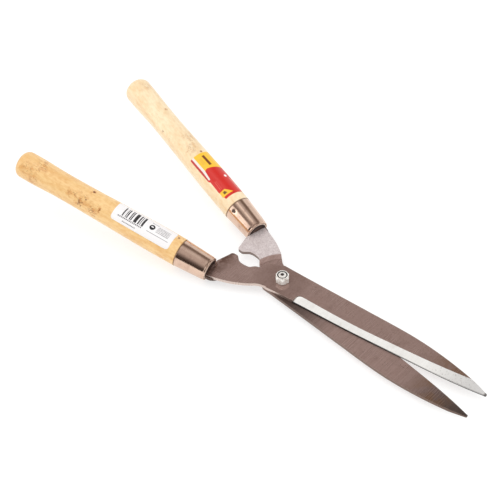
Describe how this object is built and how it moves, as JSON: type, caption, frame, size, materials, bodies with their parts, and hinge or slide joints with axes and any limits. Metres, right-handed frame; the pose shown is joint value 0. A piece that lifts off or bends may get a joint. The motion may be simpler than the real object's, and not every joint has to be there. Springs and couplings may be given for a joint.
{
  "type": "hedge shears",
  "caption": "Hedge shears with wooden handles: crossed steel blades with ground edges turn on a pivot bolt with a lock nut; tapered ferrules hold the handles.",
  "frame": {"origin": "middle of the overall length and width, at the lowest point of the shears lying nut side up", "axes": "+X along the line between the blades towards the tips, +Y towards the left-hand handle, +Z along the pivot bolt, nut side up"},
  "size_m": [0.5263, 0.1912, 0.0715],
  "materials": {
    "blade_steel": "semi-gloss, brown-grey heat-treated, bright ground bevel",
    "forged_steel": "dark brown, satin",
    "ferrule_plate": "bright nickel-plated",
    "fastener_steel": "dull",
    "handle_wood": "clear-lacquered pale birch, satin",
    "white_label": "printed paper, satin",
    "colour_label": "printed paper, satin",
    "zinc_steel": "bright zinc-plated",
    "black_nylon": "matte"
  },
  "bodies": {
    "lower_half": {"lower_blade": "blade_steel", "left_tang": "forged_steel", "left_collar": "forged_steel", "left_ferrule": "ferrule_plate", "left_ferrule_nail": "fastener_steel", "left_handle": "handle_wood", "left_colour_label": "colour_label", "pivot_bolt": "zinc_steel", "lock_nut": "zinc_steel", "nut_nylon_ring": "black_nylon"},
    "upper_half": {"upper_blade": "blade_steel", "right_tang": "forged_steel", "right_collar": "forged_steel", "right_ferrule": "ferrule_plate", "right_ferrule_nail": "fastener_steel", "right_handle": "handle_wood", "right_barcode_label": "white_label"}
  },
  "joints": [
    {"name": "pivot_hinge", "type": "hinge", "parent": "lower_half", "child": "upper_half", "pos_m": [0.02678, 0, 0.00942], "axis": [0, 0, 1], "range_deg": [-6.5, 60]}
  ]
}
